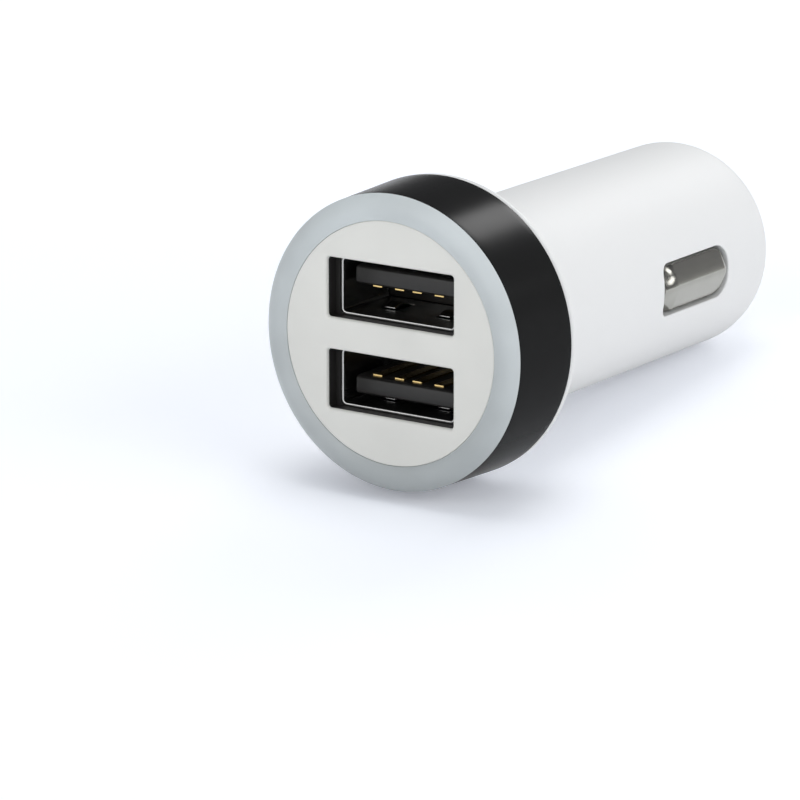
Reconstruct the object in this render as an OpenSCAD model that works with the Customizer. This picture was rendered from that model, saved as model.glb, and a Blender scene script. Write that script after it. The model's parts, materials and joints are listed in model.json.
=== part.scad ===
// Twin-port charger plug for a vehicle's 12 V socket, in millimetres.
// The barrel's axis runs along +Y and leaves through the tip; the ports face -Y, one above the other in Z.
// The origin is on the axis where the straight barrel begins, behind the head.

/* [Barrel] */
// Radius of the straight barrel that enters the vehicle's socket
barrel_r = 10.45; // [10.2:0.05:10.7]
// Length of the barrel from the end of the neck to its rounded end
barrel_len = 40.4; // [38:0.2:46]
// Radius of the rounded corner at the barrel's end, as a share of the barrel's radius
end_round = 0.4976; // [0.3:0.01:0.52]
// Wall of the white body
body_wall = 1.5; // [1.2:0.1:1.7]
// Wall that the tip contact passes through
end_wall = 2.0; // [1.6:0.1:2.6]
// Length of the hollow neck, as a share of the step from the rim down to the barrel
neck_share = 1.468; // [1.2:0.01:1.8]

/* [Head] */
// Width of the light ring between the face plate and the band's front edge
ring_w = 2.55; // [2.4:0.05:3]
// Distance that the band's rear edge stands out beyond its front edge
band_flare = 0.3; // [0.1:0.05:0.5]
// Length of the black band
band_len = 8.4; // [7.6:0.1:10]
// Thickness of the black band at its front edge
band_wall = 0.6; // [0.5:0.05:0.8]
// Distance that the rim behind the band lies below the band
rim_drop = 0.05; // [0:0.05:0.2]
// Length of the rounded rim behind the band
rim_len = 1.1; // [0.9:0.05:1.6]
// Wall of the cup that the band is pressed onto
cup_wall = 0.95; // [0.8:0.05:1.1]

/* [Face] */
// Face left between the frames of the ports and the face plate's edge
face_margin = 0.68; // [0.5:0.02:1]
// Distance that the face plate stands in front of the band
face_proud = 0.55; // [0.3:0.05:1]
// Thickness of the face plate
face_t = 2.0; // [1.6:0.1:2.2]
// Height of the light ring's crown in front of the band
ring_crown = 0.8; // [0.6:0.05:1.2]
// Distance that the light guide reaches into the cup
guide_len = 4.2; // [3.8:0.1:4.4]

/* [Ports] */
// Width of each opening in the face
port_w = 14.3; // [14:0.05:14.6]
// Height of each opening in the face
port_h = 5.8; // [5.75:0.05:6]
// Distance between the centres of the two ports
port_pitch = 8.9; // [8.7:0.1:9.3]
// Height of the ports' middle above the axis
port_rise = 0.15; // [-0.1:0.05:0.3]
// Distance that the metal port shell's inside lies within the opening, on each side
socket_side = 0.9; // [0.85:0.05:1]
// Distance that the metal port shell's inside lies within the opening, above and below
socket_inset = 0.34; // [0.33:0.01:0.4]
// Sheet thickness of the metal port shell
socket_wall = 0.3; // [0.2:0.05:0.3]
// Length of the metal port shell
socket_len = 9.6; // [9:0.1:9.8]
// Thickness of the contact tongue
tongue_t = 1.84; // [1.7:0.02:1.9]
// Gap between the contact tongue and the sides of the port shell
tongue_side = 0.7; // [0.6:0.1:0.9]

/* [Side contacts] */
// Distance from the barrel's end to the middle of the side windows
window_back = 17.22; // [16:0.02:18.4]
// Length of the side windows
window_len = 12.05; // [11.6:0.05:13]
// Height of the side windows
window_h = 5.3; // [5:0.1:5.8]
// Gap between a side contact and its window
window_gap = 0.25; // [0.15:0.05:0.35]
// Distance that a side contact stands proud of the barrel
contact_proud = 0.21; // [0.1:0.01:0.22]
// Slope of the two faces that meet in the ridge along a side contact
contact_slope = 0.42; // [0.2:0.02:0.6]
// Radius of the ridge along a side contact
ridge_r = 0.5; // [0.2:0.05:1]
// Distance that a side contact can be pressed in
contact_travel = 0.7; // [0.4:0.1:0.9]

/* [Tip] */
// Radius of the tip contact's shank
tip_r = 3.5; // [3:0.1:3.8]
// Distance that the tip contact stands out of the barrel
tip_proud = 4.8; // [4:0.1:6]
// Distance that the flange of the tip contact stands out beyond its shank
tip_lip = 1.1; // [0.9:0.1:1.4]
// Wire radius of the tip spring
tip_wire_r = 0.25; // [0.2:0.05:0.3]

/* [Boards] */
// Thickness of the main circuit board
board_t = 1.6; // [1.2:0.1:1.6]
// Gap between the main board's edge and the barrel's bore
board_side = 0.65; // [0.5:0.05:0.9]
// Room for a side spring between the main board's tail and a side contact
spring_room = 3.15; // [2.9:0.05:3.4]
// Bore radius that the sizes of the parts on the board are given for; they scale with the real bore
bore_ref_r = 8.95; // [8.5:0.05:9.5]
// Radius of the input capacitor
input_cap_r = 3.15; // [2.5:0.05:3.2]
// Height of the input capacitor
input_cap_h = 6.4; // [5:0.1:6.6]
// Radius of the output capacitor
output_cap_r = 2.5; // [2:0.1:2.8]
// Height of the output capacitor
output_cap_h = 6.8; // [5:0.1:7]
// Radius of the inductor's drum core
coil_r = 3.6; // [3:0.1:3.9]
// Height of the inductor's drum core
coil_h = 5.0; // [4:0.1:5.4]

/* [Hidden] */

eps = 0.01;
round_fn = 96;
press_gap = 0.05;
slip_gap = 0.1;
wire_gap = 0.03;

// Outline of the ports, which the head is built round
port_lip = 0.4;
liner_wall = 0.5;
liner_w = port_w + 2 * liner_wall;
liner_h = port_h + 2 * liner_wall;
socket_w = port_w - 2 * socket_side;
socket_h = port_h - 2 * socket_inset;
socket_out_w = socket_w + 2 * socket_wall;
socket_out_h = socket_h + 2 * socket_wall;
ports_top = port_pitch / 2 + abs(port_rise);
face_r = norm([liner_w / 2, ports_top + liner_h / 2]) + face_margin;
block_wall = 0.45;
block_r = norm([socket_out_w / 2 + press_gap, ports_top + socket_out_h / 2 + press_gap]) + block_wall;

// Radii and stations of the white body
barrel_end_r = barrel_r * end_round;
bore_r = barrel_r - body_wall;
bore_k = bore_r / bore_ref_r;
band_front_r = face_r + ring_w;
band_rear_r = band_front_r + band_flare;
rim_r = band_rear_r - rim_drop;
neck_r = rim_r - rim_len / 2;
neck_drop = neck_r - barrel_r;
neck_len = neck_drop * neck_share;
neck_fillet_r = (neck_len * neck_len + neck_drop * neck_drop) / (2 * neck_drop);
band_y = -neck_len - rim_len - band_len;
band_in_r = band_front_r - band_wall;
cup_r = band_in_r - press_gap;
cup_in_r = cup_r - cup_wall;
cup_front_y = band_y + 0.35;
bore_end_y = barrel_len - end_wall;
bore_end_r = barrel_end_r - body_wall;
// Turn of the body's seam about the axis, clear of both windows
body_seam = 52.5;

// Stations of the face and the ports
face_y = band_y - face_proud;
face_back_y = face_y + face_t;
socket_y = face_y + 1.5;
socket_end_y = socket_y + socket_len;
upper_z = port_rise + port_pitch / 2;
lower_z = port_rise - port_pitch / 2;
block_back_y = face_back_y + 2.1;
skirt_wall = 0.8;
spring_x = socket_w * 0.248;
spring_w = socket_w * 0.096;
spring_slit = socket_w * 0.024;
spring_front_y = socket_y + socket_len * 0.333;
spring_root_y = socket_y + socket_len * 0.646;
leg_y = socket_y + socket_len * 0.458;
leg_w = socket_len * 0.208;
leg_reach = 0.6;

// Tongues and contact strips
base_len = 2.0;
tongue_y = socket_y + 1.1;
tongue_w = socket_w - 2 * tongue_side;
pin_w = tongue_w * 0.09;
pin_tail_w = pin_w * 0.6;
pin_xs = [for (share = [-0.315, -0.09, 0.09, 0.315]) share * tongue_w];
pin_t = 0.2;
pin_gap = 0.05;
pin_proud = 0.02;
tail_gap_y = socket_end_y + 0.2;

// Light ring and its board
guide_in_r = face_r + press_gap;
guide_out_r = cup_in_r - press_gap;
guide_end_y = band_y + guide_len;
diode_count = 6;
diode_t = 0.6;
diode_w = 0.76;
diode_len = 1.6;
light_board_y = guide_end_y + 0.2 + diode_t;
light_board_t = 0.8;
light_board_in_r = face_r - skirt_wall - 0.3;
ledge_r = cup_in_r - 0.9;
ledge_y = light_board_y + light_board_t;

// Main board
board_z = port_rise;
board_top = board_z + board_t / 2;
board_bottom = board_z - board_t / 2;
board_front_y = block_back_y + 0.3;
window_y = barrel_len - window_back;
board_half_w = bore_r - board_side;
tail_y = window_y - window_len / 2 - 1.6;
board_end_y = window_y + window_len / 2 + 2.2;
rail_w = 1.2;
rail_t = 0.9;
cap_r = input_cap_r * bore_k;
cap_out_r = output_cap_r * bore_k;
drum_r = coil_r * bore_k;
drum_h = coil_h * bore_k;
part_gap = 0.8 * bore_k;
chips_front_y = tail_gap_y + pin_t + 0.4 + part_gap;
output_cap_y = chips_front_y + cap_out_r;
input_cap_y = output_cap_y + cap_out_r + cap_r + part_gap;
coil_y = chips_front_y + drum_r;
chip_y = input_cap_y + cap_r + 4 * part_gap;
diode_y = coil_y + drum_r + 3.75 * part_gap;
fuse_y = diode_y + 5.5 * part_gap;

// Side contacts and their springs
boss_x = bore_r - 0.75;
contact_w = window_h - 2 * window_gap;
contact_len = window_len - 2 * window_gap;
contact_top_x = barrel_r + contact_proud;
flange_t = 0.8;
flange_x = boss_x - press_gap - flange_t;
flange_rim = 0.65;
tail_half_w = flange_x - spring_room;
terminal_t = 0.4;
terminal_w = window_h * 0.83;
pip_len = 0.5;
terminal_x = tail_half_w + terminal_t;
side_spring_r = 1.4;
side_wire_r = 0.2;
pip_r = side_spring_r - side_wire_r - 0.15;

// Tip contact and its spring
tip_hole_r = tip_r + slip_gap;
tip_flange_r = tip_r + tip_lip;
tip_flange_t = 1.0;
tip_flange_y = bore_end_y - press_gap - tip_flange_t;
tip_spring_r = tip_r * 0.714;
seat_t = 0.5;
seat_y = board_end_y;

// Turns a profile drawn as (radius, distance along Y) about the barrel's axis, from a seam
module turned(seam = 0) {
    rotate([-90, 0, 0]) rotate([0, 0, seam]) rotate_extrude($fn = round_fn) children();
}

// A block between two corners
module block(low, high) {
    translate(low) cube(high - low);
}

// A rectangle in X and Z with rounded corners, drawn along Y from y0 to y1
module rounded_slot(w, h, r, y0, y1) {
    translate([0, y1, 0]) rotate([90, 0, 0]) linear_extrude(y1 - y0) {
        square([w - 2 * r, h], center = true);
        square([w, h - 2 * r], center = true);
        for (sx = [-1, 1], sz = [-1, 1]) {
            translate([sx * (w / 2 - r), sz * (h / 2 - r)]) circle(r, $fn = 32);
        }
    }
}

// Places its children at both ports; the lower one stands upside down
module both_ports() {
    translate([0, 0, upper_z]) children();
    translate([0, 0, lower_z]) mirror([0, 0, 1]) children();
}

// Places its children at one port: side is 1 for the upper one and -1 for the lower one
module at_port(side) {
    translate([0, 0, port_rise + side * port_pitch / 2]) mirror([0, 0, side < 0 ? 1 : 0]) children();
}

// A wire swept along points, closed at both ends
module wire(path, r, sides) {
    n = len(path);
    dirs = [for (i = [0:n - 1]) path[min(i + 1, n - 1)] - path[max(i - 1, 0)]];
    rings = [for (i = [0:n - 1]) let (
        d = dirs[i] / norm(dirs[i]),
        u = cross(d, [0, 1, 0.001]),
        a = u / norm(u),
        b = cross(d, a)
    ) for (k = [0:sides - 1]) path[i] + r * (cos(360 * k / sides) * a + sin(360 * k / sides) * b)];
    polyhedron(
        points = rings,
        faces = concat(
            [[for (k = [0:sides - 1]) k]],
            [for (i = [0:n - 2], k = [0:sides - 1]) [
                i * sides + k,
                (i + 1) * sides + k,
                (i + 1) * sides + (k + 1) % sides,
                i * sides + (k + 1) % sides
            ]],
            [[for (k = [sides - 1:-1:0]) (n - 1) * sides + k]]
        )
    );
}

// A coil about the Y axis from y0 to y1 with closed end turns
function coil_points(r, y0, y1, turns, steps, wire_r) = [
    for (i = [0:turns * steps]) let (
        t = i / (turns * steps),
        active = min(max((t * turns - 0.8) / (turns - 1.6), 0), 1),
        rise = 2.1 * wire_r * min(t * turns, 0.8),
        fall = 2.1 * wire_r * min((1 - t) * turns, 0.8),
        low = y0 + wire_r + 2.1 * wire_r * 0.8,
        high = y1 - wire_r - 2.1 * wire_r * 0.8
    ) [
        r * cos(360 * i / steps),
        t * turns < 0.8 ? y0 + wire_r + rise
            : (1 - t) * turns < 0.8 ? y1 - wire_r - fall
            : low + active * (high - low),
        r * sin(360 * i / steps)
    ]
];

// Outline of the straight barrel with its rounded end
module barrel_profile(r, len, corner_r) {
    square([r, len - corner_r]);
    square([r - corner_r, len]);
    translate([r - corner_r, len - corner_r]) intersection() {
        circle(corner_r, $fn = round_fn);
        square(corner_r + 1);
    }
}

// Outline of the neck: a hollow quarter that runs into the barrel
module neck_profile(wall) {
    difference() {
        translate([0, -neck_len]) square([neck_r - wall, neck_len + eps]);
        translate([barrel_r + neck_fillet_r, 0]) circle(neck_fillet_r + wall, $fn = round_fn);
    }
}

// Outline of the rim behind the band, with its outer edge rounded
module rim_profile() {
    edge = rim_len / 2;
    translate([0, -neck_len - rim_len]) {
        square([rim_r - edge, rim_len]);
        translate([rim_r - edge, edge]) circle(edge, $fn = 48);
    }
}

module body_outline() {
    barrel_profile(barrel_r, barrel_len, barrel_end_r);
    neck_profile(0);
    rim_profile();
    translate([0, cup_front_y]) square([cup_r, -neck_len - rim_len - cup_front_y + eps]);
}

module body_hollow() {
    barrel_profile(bore_r, bore_end_y, bore_end_r);
    neck_profile(body_wall);
    translate([0, ledge_y]) square([ledge_r, -neck_len - ledge_y + eps]);
    translate([0, cup_front_y - 1]) square([cup_in_r, ledge_y - cup_front_y + 1]);
}

// Pairs of rails inside the barrel that the main board slides between
module board_rails() {
    for (s = [-1, 1], side = [-1, 1]) {
        z0 = board_z + side * (board_t / 2 + slip_gap);
        z1 = z0 + side * rail_t;
        block(
            [min(s * (bore_r - rail_w), s * (bore_r + 0.3)), 1, min(z0, z1)],
            [max(s * (bore_r - rail_w), s * (bore_r + 0.3)), tail_y - 1, max(z0, z1)]
        );
    }
}

// Thickened frames round the two side windows
module window_bosses() {
    intersection() {
        turned() barrel_profile(bore_r + 0.3, bore_end_y, bore_end_r);
        for (s = [-1, 1]) {
            block(
                [min(s * boss_x, s * barrel_r), window_y - window_len / 2 - 1.4, -window_h / 2 - 1.4],
                [max(s * boss_x, s * barrel_r), window_y + window_len / 2 + 1.4, window_h / 2 + 1.4]
            );
        }
    }
}

// A side window: square front corners, rounder rear corners
module window_cut(grow, x0, x1) {
    front_r = 0.9;
    rear_r = 1.9;
    half_h = window_h / 2 + grow;
    y0 = window_y - window_len / 2 - grow;
    y1 = window_y + window_len / 2 + grow;
    translate([x0, 0, 0]) rotate([90, 0, 90]) linear_extrude(x1 - x0) {
        translate([y0 + front_r, -half_h]) square([y1 - y0 - front_r - rear_r, 2 * half_h]);
        translate([y0, -half_h + front_r]) square([front_r + eps, 2 * (half_h - front_r)]);
        translate([y1 - rear_r - eps, -half_h + rear_r]) square([rear_r + eps, 2 * (half_h - rear_r)]);
        for (s = [-1, 1]) {
            translate([y0 + front_r, s * (half_h - front_r)]) circle(front_r, $fn = 32);
            translate([y1 - rear_r, s * (half_h - rear_r)]) circle(rear_r, $fn = 32);
        }
    }
}

module body_shell() {
    color("white") difference() {
        union() {
            difference() {
                turned(body_seam) body_outline();
                turned(body_seam) body_hollow();
            }
            board_rails();
            window_bosses();
        }
        window_cut(0, boss_x - 1, barrel_r + 1);
        mirror([1, 0, 0]) window_cut(0, boss_x - 1, barrel_r + 1);
        translate([0, bore_end_y - 1, 0]) rotate([-90, 0, 0]) {
            cylinder(h = end_wall + 2, r = tip_hole_r, $fn = round_fn);
        }
    }
}

module trim_band() {
    edge = 0.15;
    color([0.09, 0.09, 0.09]) turned() polygon([
        [band_in_r, band_y],
        [band_front_r - edge, band_y],
        [band_front_r, band_y + edge],
        [band_rear_r, band_y + band_len - edge],
        [band_rear_r - edge, band_y + band_len],
        [band_in_r, band_y + band_len]
    ]);
}

// Section of the light ring: a crowned lip over the cup and the guide behind it
module ring_profile() {
    lip_w = band_front_r - guide_in_r;
    outer_w = 0.62 * lip_w;
    crown_r = (outer_w * outer_w + ring_crown * ring_crown) / (2 * ring_crown);
    root = 0.3;
    intersection() {
        translate([guide_in_r, band_y - ring_crown]) square([lip_w, ring_crown]);
        translate([band_front_r - outer_w, band_y - ring_crown + crown_r]) circle(crown_r, $fn = 128);
    }
    translate([guide_in_r, band_y - root]) square([guide_out_r - guide_in_r, guide_len + root]);
    translate([guide_in_r, band_y - root]) square([band_in_r - guide_in_r - press_gap, 2 * root]);
}

module light_ring() {
    color([0.78, 0.8, 0.82]) turned() ring_profile();
}

// Plate with a rounded front edge and a skirt that stands on the light board
module face_profile() {
    edge = 0.25;
    translate([0, face_y]) square([face_r - edge, face_t]);
    translate([0, face_y + edge]) square([face_r, face_t - edge]);
    translate([face_r - edge, face_y + edge]) circle(edge, $fn = 32);
    translate([face_r - skirt_wall, face_back_y - eps]) {
        square([skirt_wall, light_board_y - face_back_y + eps]);
    }
}

module face_plate() {
    color([0.87, 0.87, 0.85]) difference() {
        turned() face_profile();
        both_ports() rounded_slot(port_w, port_h, 0.35, face_y - 1, face_back_y + 1);
        both_ports() rounded_slot(liner_w, liner_h, 0.6, face_y + port_lip, face_back_y + 1);
    }
}

// Black carrier: a disc behind the plate whose two frames line the openings
module port_block() {
    color([0.08, 0.08, 0.07]) difference() {
        union() {
            translate([0, face_back_y, 0]) rotate([-90, 0, 0]) {
                cylinder(h = block_back_y - face_back_y, r = block_r, $fn = round_fn);
            }
            both_ports() rounded_slot(
                liner_w - 2 * press_gap, liner_h - 2 * press_gap, 0.55, face_y + port_lip, face_back_y + eps
            );
        }
        both_ports() rounded_slot(port_w, port_h, 0.35, face_y, socket_y);
        both_ports() rounded_slot(
            socket_out_w + 2 * press_gap, socket_out_h + 2 * press_gap, 0.7, face_y, block_back_y + 1
        );
    }
}

// Folded metal sleeve with two spring windows above and below and two solder legs
module usb_shell(side) {
    at_port(side) {
        difference() {
            rounded_slot(socket_out_w, socket_out_h, 0.65, socket_y, socket_end_y);
            rounded_slot(socket_w, socket_h, 0.4, socket_y - 1, socket_end_y + 1);
            for (s = [-1, 1]) {
                cut_w = spring_w + 2 * spring_slit;
                block(
                    [s * spring_x - cut_w / 2, spring_front_y - 2 * spring_slit, -socket_out_h / 2 - 1],
                    [s * spring_x + cut_w / 2, spring_root_y, socket_out_h / 2 + 1]
                );
            }
        }
        for (s = [-1, 1]) {
            leg_x = s * (socket_out_w / 2 - socket_wall / 2);
            block(
                [leg_x - socket_wall / 2, leg_y, -port_pitch / 2 + board_t / 2],
                [leg_x + socket_wall / 2, leg_y + leg_w, -socket_h / 2 + leg_reach]
            );
        }
        for (s = [-1, 1], v = [-1, 1]) {
            spring_z = v * (socket_out_h / 2 - socket_wall / 2);
            block(
                [s * spring_x - spring_w / 2, spring_front_y, spring_z - socket_wall / 2],
                [s * spring_x + spring_w / 2, spring_root_y + eps, spring_z + socket_wall / 2]
            );
        }
    }
}

module usb_shell_upper() {
    color("silver") usb_shell(1);
}

module usb_shell_lower() {
    color("silver") usb_shell(-1);
}

// Insulator: a base that closes the sleeve and the tongue that carries the four contacts
module usb_tongue(side) {
    at_port(side) difference() {
        union() {
            rounded_slot(
                socket_w - 2 * press_gap, socket_h - 2 * press_gap, 0.35,
                socket_end_y - base_len, socket_end_y
            );
            block([-tongue_w / 2, tongue_y, 0], [tongue_w / 2, socket_end_y - base_len + eps, tongue_t]);
        }
        for (x = pin_xs) {
            block(
                [x - pin_w / 2 - pin_gap, tongue_y + 0.5, -pin_t],
                [x + pin_w / 2 + pin_gap, socket_end_y + 1, pin_proud + pin_gap / 2]
            );
        }
    }
}

module usb_tongue_upper() {
    color([0.1, 0.1, 0.1]) usb_tongue(1);
}

module usb_tongue_lower() {
    color([0.1, 0.1, 0.1]) usb_tongue(-1);
}

// Four contact strips that lie under the tongue and turn towards the board behind the base
module usb_pins(side) {
    at_port(side) for (x = pin_xs) {
        block(
            [x - pin_w / 2, tongue_y + 0.6, pin_proud - pin_t],
            [x + pin_w / 2, tail_gap_y + pin_t, pin_proud]
        );
        block(
            [x - pin_tail_w / 2, tail_gap_y, -port_pitch / 2 + board_t / 2],
            [x + pin_tail_w / 2, tail_gap_y + pin_t, pin_proud]
        );
    }
}

module usb_pins_upper() {
    color("gold") usb_pins(1);
}

module usb_pins_lower() {
    color("gold") usb_pins(-1);
}

// Ring-shaped board on the body's inner ledge
module light_board() {
    color([0.9, 0.9, 0.86]) turned() translate([light_board_in_r, light_board_y]) {
        square([cup_in_r - press_gap - light_board_in_r, light_board_t]);
    }
}

module light_diodes() {
    mid_r = (guide_in_r + guide_out_r) / 2;
    color("khaki") for (i = [0:diode_count - 1]) {
        rotate([0, 360 * (i + 0.5) / diode_count, 0]) {
            block(
                [mid_r - diode_w / 2, light_board_y - diode_t, -diode_len / 2],
                [mid_r + diode_w / 2, light_board_y, diode_len / 2]
            );
        }
    }
}

module board_outline() {
    translate([-board_half_w, board_front_y]) square([2 * board_half_w, tail_y - board_front_y]);
    translate([-tail_half_w, tail_y - eps]) square([2 * tail_half_w, board_end_y - tail_y + eps]);
}

module main_board() {
    color("darkgreen") translate([0, 0, board_bottom]) linear_extrude(board_t) board_outline();
}

// Drum core: two flanges on a waist, standing under the board
module inductor_core() {
    waist_r = drum_r * 0.55;
    flange = drum_h * 0.14;
    color([0.2, 0.2, 0.22]) translate([0, coil_y, board_bottom]) mirror([0, 0, 1]) rotate_extrude($fn = 64) {
        square([drum_r, flange]);
        square([waist_r, drum_h]);
        translate([0, drum_h - flange]) square([drum_r, flange]);
    }
}

module inductor_winding() {
    turns = 6;
    waist_r = drum_r * 0.55 + 0.02;
    flange = drum_h * 0.144;
    turn_r = (drum_h - 2 * flange) / (2 * turns);
    pile_r = drum_r * 0.86 - turn_r;
    color([0.72, 0.42, 0.2]) translate([0, coil_y, board_bottom]) mirror([0, 0, 1]) rotate_extrude($fn = 64) {
        translate([waist_r, flange]) square([pile_r - waist_r, drum_h - 2 * flange]);
        for (i = [0:turns - 1]) {
            translate([pile_r, flange + turn_r * (2 * i + 1)]) circle(turn_r * 0.98, $fn = 24);
        }
    }
}

// Can with a rolled groove above its base and a rounded top
module capacitor(r, h) {
    edge = 0.06 * h;
    groove_r = 0.075 * h;
    rotate_extrude($fn = 64) difference() {
        union() {
            square([r, h - edge]);
            square([r - edge, h]);
            translate([r - edge, h - edge]) circle(edge, $fn = 32);
        }
        translate([r + groove_r / 2, 0.2 * h]) circle(groove_r, $fn = 32);
    }
}

module input_capacitor() {
    color([0.25, 0.27, 0.35]) translate([0, input_cap_y, board_top]) {
        capacitor(cap_r, input_cap_h * bore_k);
    }
}

module output_capacitor() {
    color([0.25, 0.27, 0.35]) translate([0, output_cap_y, board_top]) {
        capacitor(cap_out_r, output_cap_h * bore_k);
    }
}

// Section of one gull-wing leg: out of the moulding, down and out along the board
module leg_section(body_half, toe) {
    leg_t = 0.15;
    knee = 0.4;
    shoulder = 0.65;
    translate([body_half - 0.1, shoulder - leg_t]) square([knee + 0.1, leg_t]);
    translate([body_half + knee - leg_t, 0]) square([leg_t, shoulder]);
    translate([body_half + knee - leg_t, 0]) square([toe + leg_t - knee, leg_t]);
}

// Moulded chip with gull-wing legs on two sides; all of it scales with the bore
module chip(size, legs, pitch, toe) {
    leg_w = 0.4;
    standoff = 0.15;
    scale(bore_k) {
        translate([0, 0, standoff + size[2] / 2]) cube(size, center = true);
        for (turn = [0, 180], i = [0:legs - 1]) {
            rotate([0, 0, turn]) translate([0, (i - (legs - 1) / 2) * pitch + leg_w / 2, 0]) {
                rotate([90, 0, 0]) linear_extrude(leg_w) leg_section(size[0] / 2, toe);
            }
        }
    }
}

module converter_chip() {
    color([0.12, 0.12, 0.12]) translate([0, chip_y, board_top]) chip([3.9, 4.9, 1.45], 4, 1.27, 1.0);
}

module rectifier_diode() {
    color([0.12, 0.12, 0.12]) translate([0, diode_y, board_bottom]) mirror([0, 0, 1]) {
        chip([4.2, 2.6, 2.0], 1, 0, 0.7);
    }
}

module charge_chips() {
    side_x = drum_r + 2.5 * part_gap;
    color([0.12, 0.12, 0.12]) for (s = [-1, 1]) {
        translate([s * side_x, coil_y + part_gap, board_bottom]) mirror([0, 0, 1]) {
            chip([1.6, 2.9, 1.0], 3, 0.95, 0.6);
        }
    }
}

// Blocks of a given size, standing on the board and scaling with the bore
module board_block(size) {
    scale(bore_k) translate([-size[0] / 2, -size[1] / 2, 0]) cube(size);
}

module chip_resistors() {
    side_x = board_half_w * 0.747;
    step = 3.25 * part_gap;
    color([0.75, 0.72, 0.66]) for (s = [-1, 1], i = [0:3]) {
        translate([s * side_x, output_cap_y - part_gap + i * step, board_top]) board_block([1.6, 0.8, 0.5]);
    }
}

module input_fuse() {
    color([0.85, 0.85, 0.8]) translate([0, fuse_y, board_bottom]) mirror([0, 0, 1]) {
        board_block([3.2, 1.6, 0.9]);
    }
}

// Stamped plate soldered to the board's edge; the spring stands on its pip
module ground_terminal() {
    foot_len = 1.6;
    foot_w = terminal_w * 0.64;
    block(
        [tail_half_w, window_y - terminal_w / 2, -terminal_w / 2],
        [terminal_x, window_y + terminal_w / 2, terminal_w / 2]
    );
    block(
        [tail_half_w - foot_len, window_y - foot_w / 2, board_top],
        [tail_half_w + eps, window_y + foot_w / 2, board_top + terminal_t]
    );
    translate([terminal_x - eps, window_y, 0]) rotate([0, 90, 0]) {
        cylinder(h = pip_len, r = pip_r, $fn = 32);
    }
}

module ground_terminal_right() {
    color("silver") ground_terminal();
}

module ground_terminal_left() {
    color("silver") mirror([1, 0, 0]) ground_terminal();
}

module side_spring() {
    path = coil_points(side_spring_r, terminal_x + wire_gap, flange_x - wire_gap, 4, 16, side_wire_r);
    translate([0, window_y, 0]) rotate([0, 0, -90]) wire(path, side_wire_r, 6);
}

module side_spring_right() {
    color("lightsteelblue") side_spring();
}

module side_spring_left() {
    color("lightsteelblue") mirror([1, 0, 0]) side_spring();
}

// Side view of a contact's crown, with its nose and heel rounded
module contact_profile(low_x) {
    end_r = 1.0;
    y0 = window_y - contact_len / 2;
    translate([low_x, y0]) square([contact_top_x - end_r - low_x, contact_len]);
    translate([low_x, y0 + end_r]) square([contact_top_x - low_x, contact_len - 2 * end_r]);
    for (y = [y0 + end_r, y0 + contact_len - end_r]) {
        translate([contact_top_x - end_r, y]) circle(end_r, $fn = 64);
    }
}

// End view of a contact's crown: two sloping faces that meet in a rounded ridge
module ridge_profile(low_x) {
    lean = atan(contact_slope);
    ridge_x = contact_top_x - ridge_r;
    face_x = ridge_x + ridge_r * cos(lean);
    face_z = ridge_r * sin(lean);
    edge_z = contact_w / 2;
    edge_x = face_x - (edge_z - face_z) * contact_slope;
    polygon([
        [low_x, -edge_z], [edge_x, -edge_z], [face_x, -face_z],
        [face_x, face_z], [edge_x, edge_z], [low_x, edge_z]
    ]);
    translate([ridge_x, 0]) circle(ridge_r, $fn = 64);
}

// Plated contact: a long ridged plunger on a flange that stays behind the window
module side_contact() {
    root_x = flange_x + flange_t / 2;
    intersection() {
        window_cut(-window_gap, root_x, contact_top_x + 1);
        translate([0, 0, -contact_w]) linear_extrude(2 * contact_w) contact_profile(root_x);
        translate([0, window_y + contact_len, 0]) rotate([90, 0, 0]) {
            linear_extrude(2 * contact_len) ridge_profile(root_x);
        }
    }
    block(
        [flange_x, window_y - contact_len / 2 - flange_rim, -contact_w / 2 - flange_rim],
        [flange_x + flange_t, window_y + contact_len / 2 + flange_rim, contact_w / 2 + flange_rim]
    );
    translate([flange_x - flange_t, window_y, 0]) rotate([0, 90, 0]) {
        cylinder(h = flange_t + eps, r = pip_r, $fn = 32);
    }
}

module side_contact_right() {
    color("lightgray") side_contact();
}

module side_contact_left() {
    color("lightgray") mirror([1, 0, 0]) side_contact();
}

module spring_seat() {
    lug_len = 2.0;
    lug_t = 0.4;
    wall_r = tip_spring_r + tip_wire_r + 0.15;
    color("goldenrod") {
        turned() translate([0, seat_y]) {
            square([wall_r + lug_t, seat_t]);
            translate([wall_r, 0]) square([lug_t, 1.4]);
        }
        block([-1.5, seat_y - lug_len, board_top], [1.5, seat_y + eps, board_top + lug_t]);
        block([-1.5, seat_y - lug_len, board_bottom - lug_t], [1.5, seat_y + eps, board_bottom]);
    }
}

module tip_spring() {
    path = coil_points(tip_spring_r, seat_y + seat_t + wire_gap, tip_flange_y - wire_gap, 4, 20, tip_wire_r);
    color("lightsteelblue") wire(path, tip_wire_r, 8);
}

module tip_contact() {
    end_y = barrel_len + tip_proud;
    nose_r = tip_r * 0.74;
    dome_r = 1.6;
    shoulder_y = barrel_len + tip_proud * 0.45;
    shoulder = tip_r - nose_r;
    spigot_r = tip_spring_r - tip_wire_r - 0.2;
    color("lightgray") turned() {
        translate([0, tip_flange_y - 1.4]) square([spigot_r, 1.4 + eps]);
        translate([0, tip_flange_y]) square([tip_flange_r, tip_flange_t]);
        polygon([
            [0, tip_flange_y],
            [tip_r, tip_flange_y],
            [tip_r, shoulder_y],
            [nose_r, shoulder_y + shoulder],
            [nose_r, end_y - dome_r],
            [0, end_y - dome_r]
        ]);
        translate([0, end_y - dome_r - eps]) square([nose_r - dome_r, dome_r + eps]);
        translate([nose_r - dome_r, end_y - dome_r]) intersection() {
            circle(dome_r, $fn = 64);
            translate([0, -eps]) square(dome_r + 1);
        }
    }
}

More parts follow.
